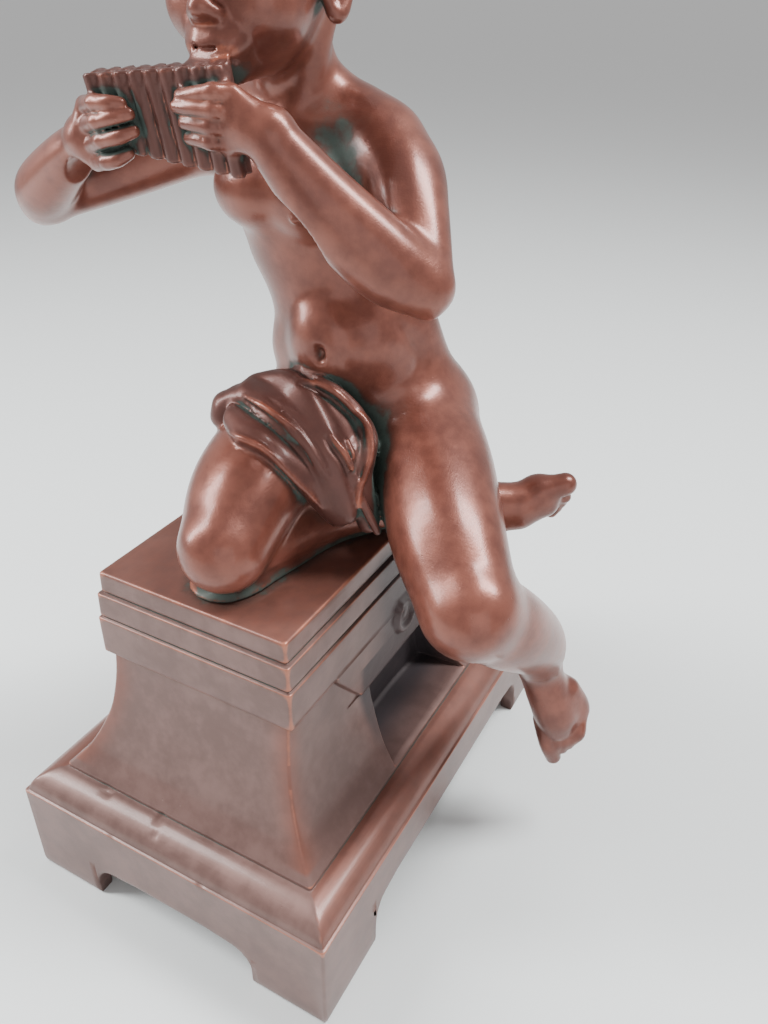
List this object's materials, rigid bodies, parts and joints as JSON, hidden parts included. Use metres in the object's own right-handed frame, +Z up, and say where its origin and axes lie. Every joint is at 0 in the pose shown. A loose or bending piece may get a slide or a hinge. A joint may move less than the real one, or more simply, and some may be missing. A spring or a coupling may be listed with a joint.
{
  "type": "faun statue",
  "caption": "Bronze statuette of a seated boy faun playing pan pipes, draped at the hip, on a moulded rectangular plinth with bracket feet.",
  "frame": {"origin": "middle of the whole work's box, at the height of the surface it stands on", "axes": "+Z up; +X along the plinth's long side, away from the way the boy looks; -Y is the side his left leg hangs over"},
  "size_m": [0.1082, 0.1022, 0.18],
  "materials": {
    "figure_bronze": "red-brown patinated bronze, waxed, with green-grey in the hollows",
    "plinth_bronze": "mauve-brown patinated bronze, satin, bright copper on the edges"
  },
  "bodies": {
    "root": {"faun_figure": "figure_bronze", "plinth": "plinth_bronze"}
  },
  "joints": []
}
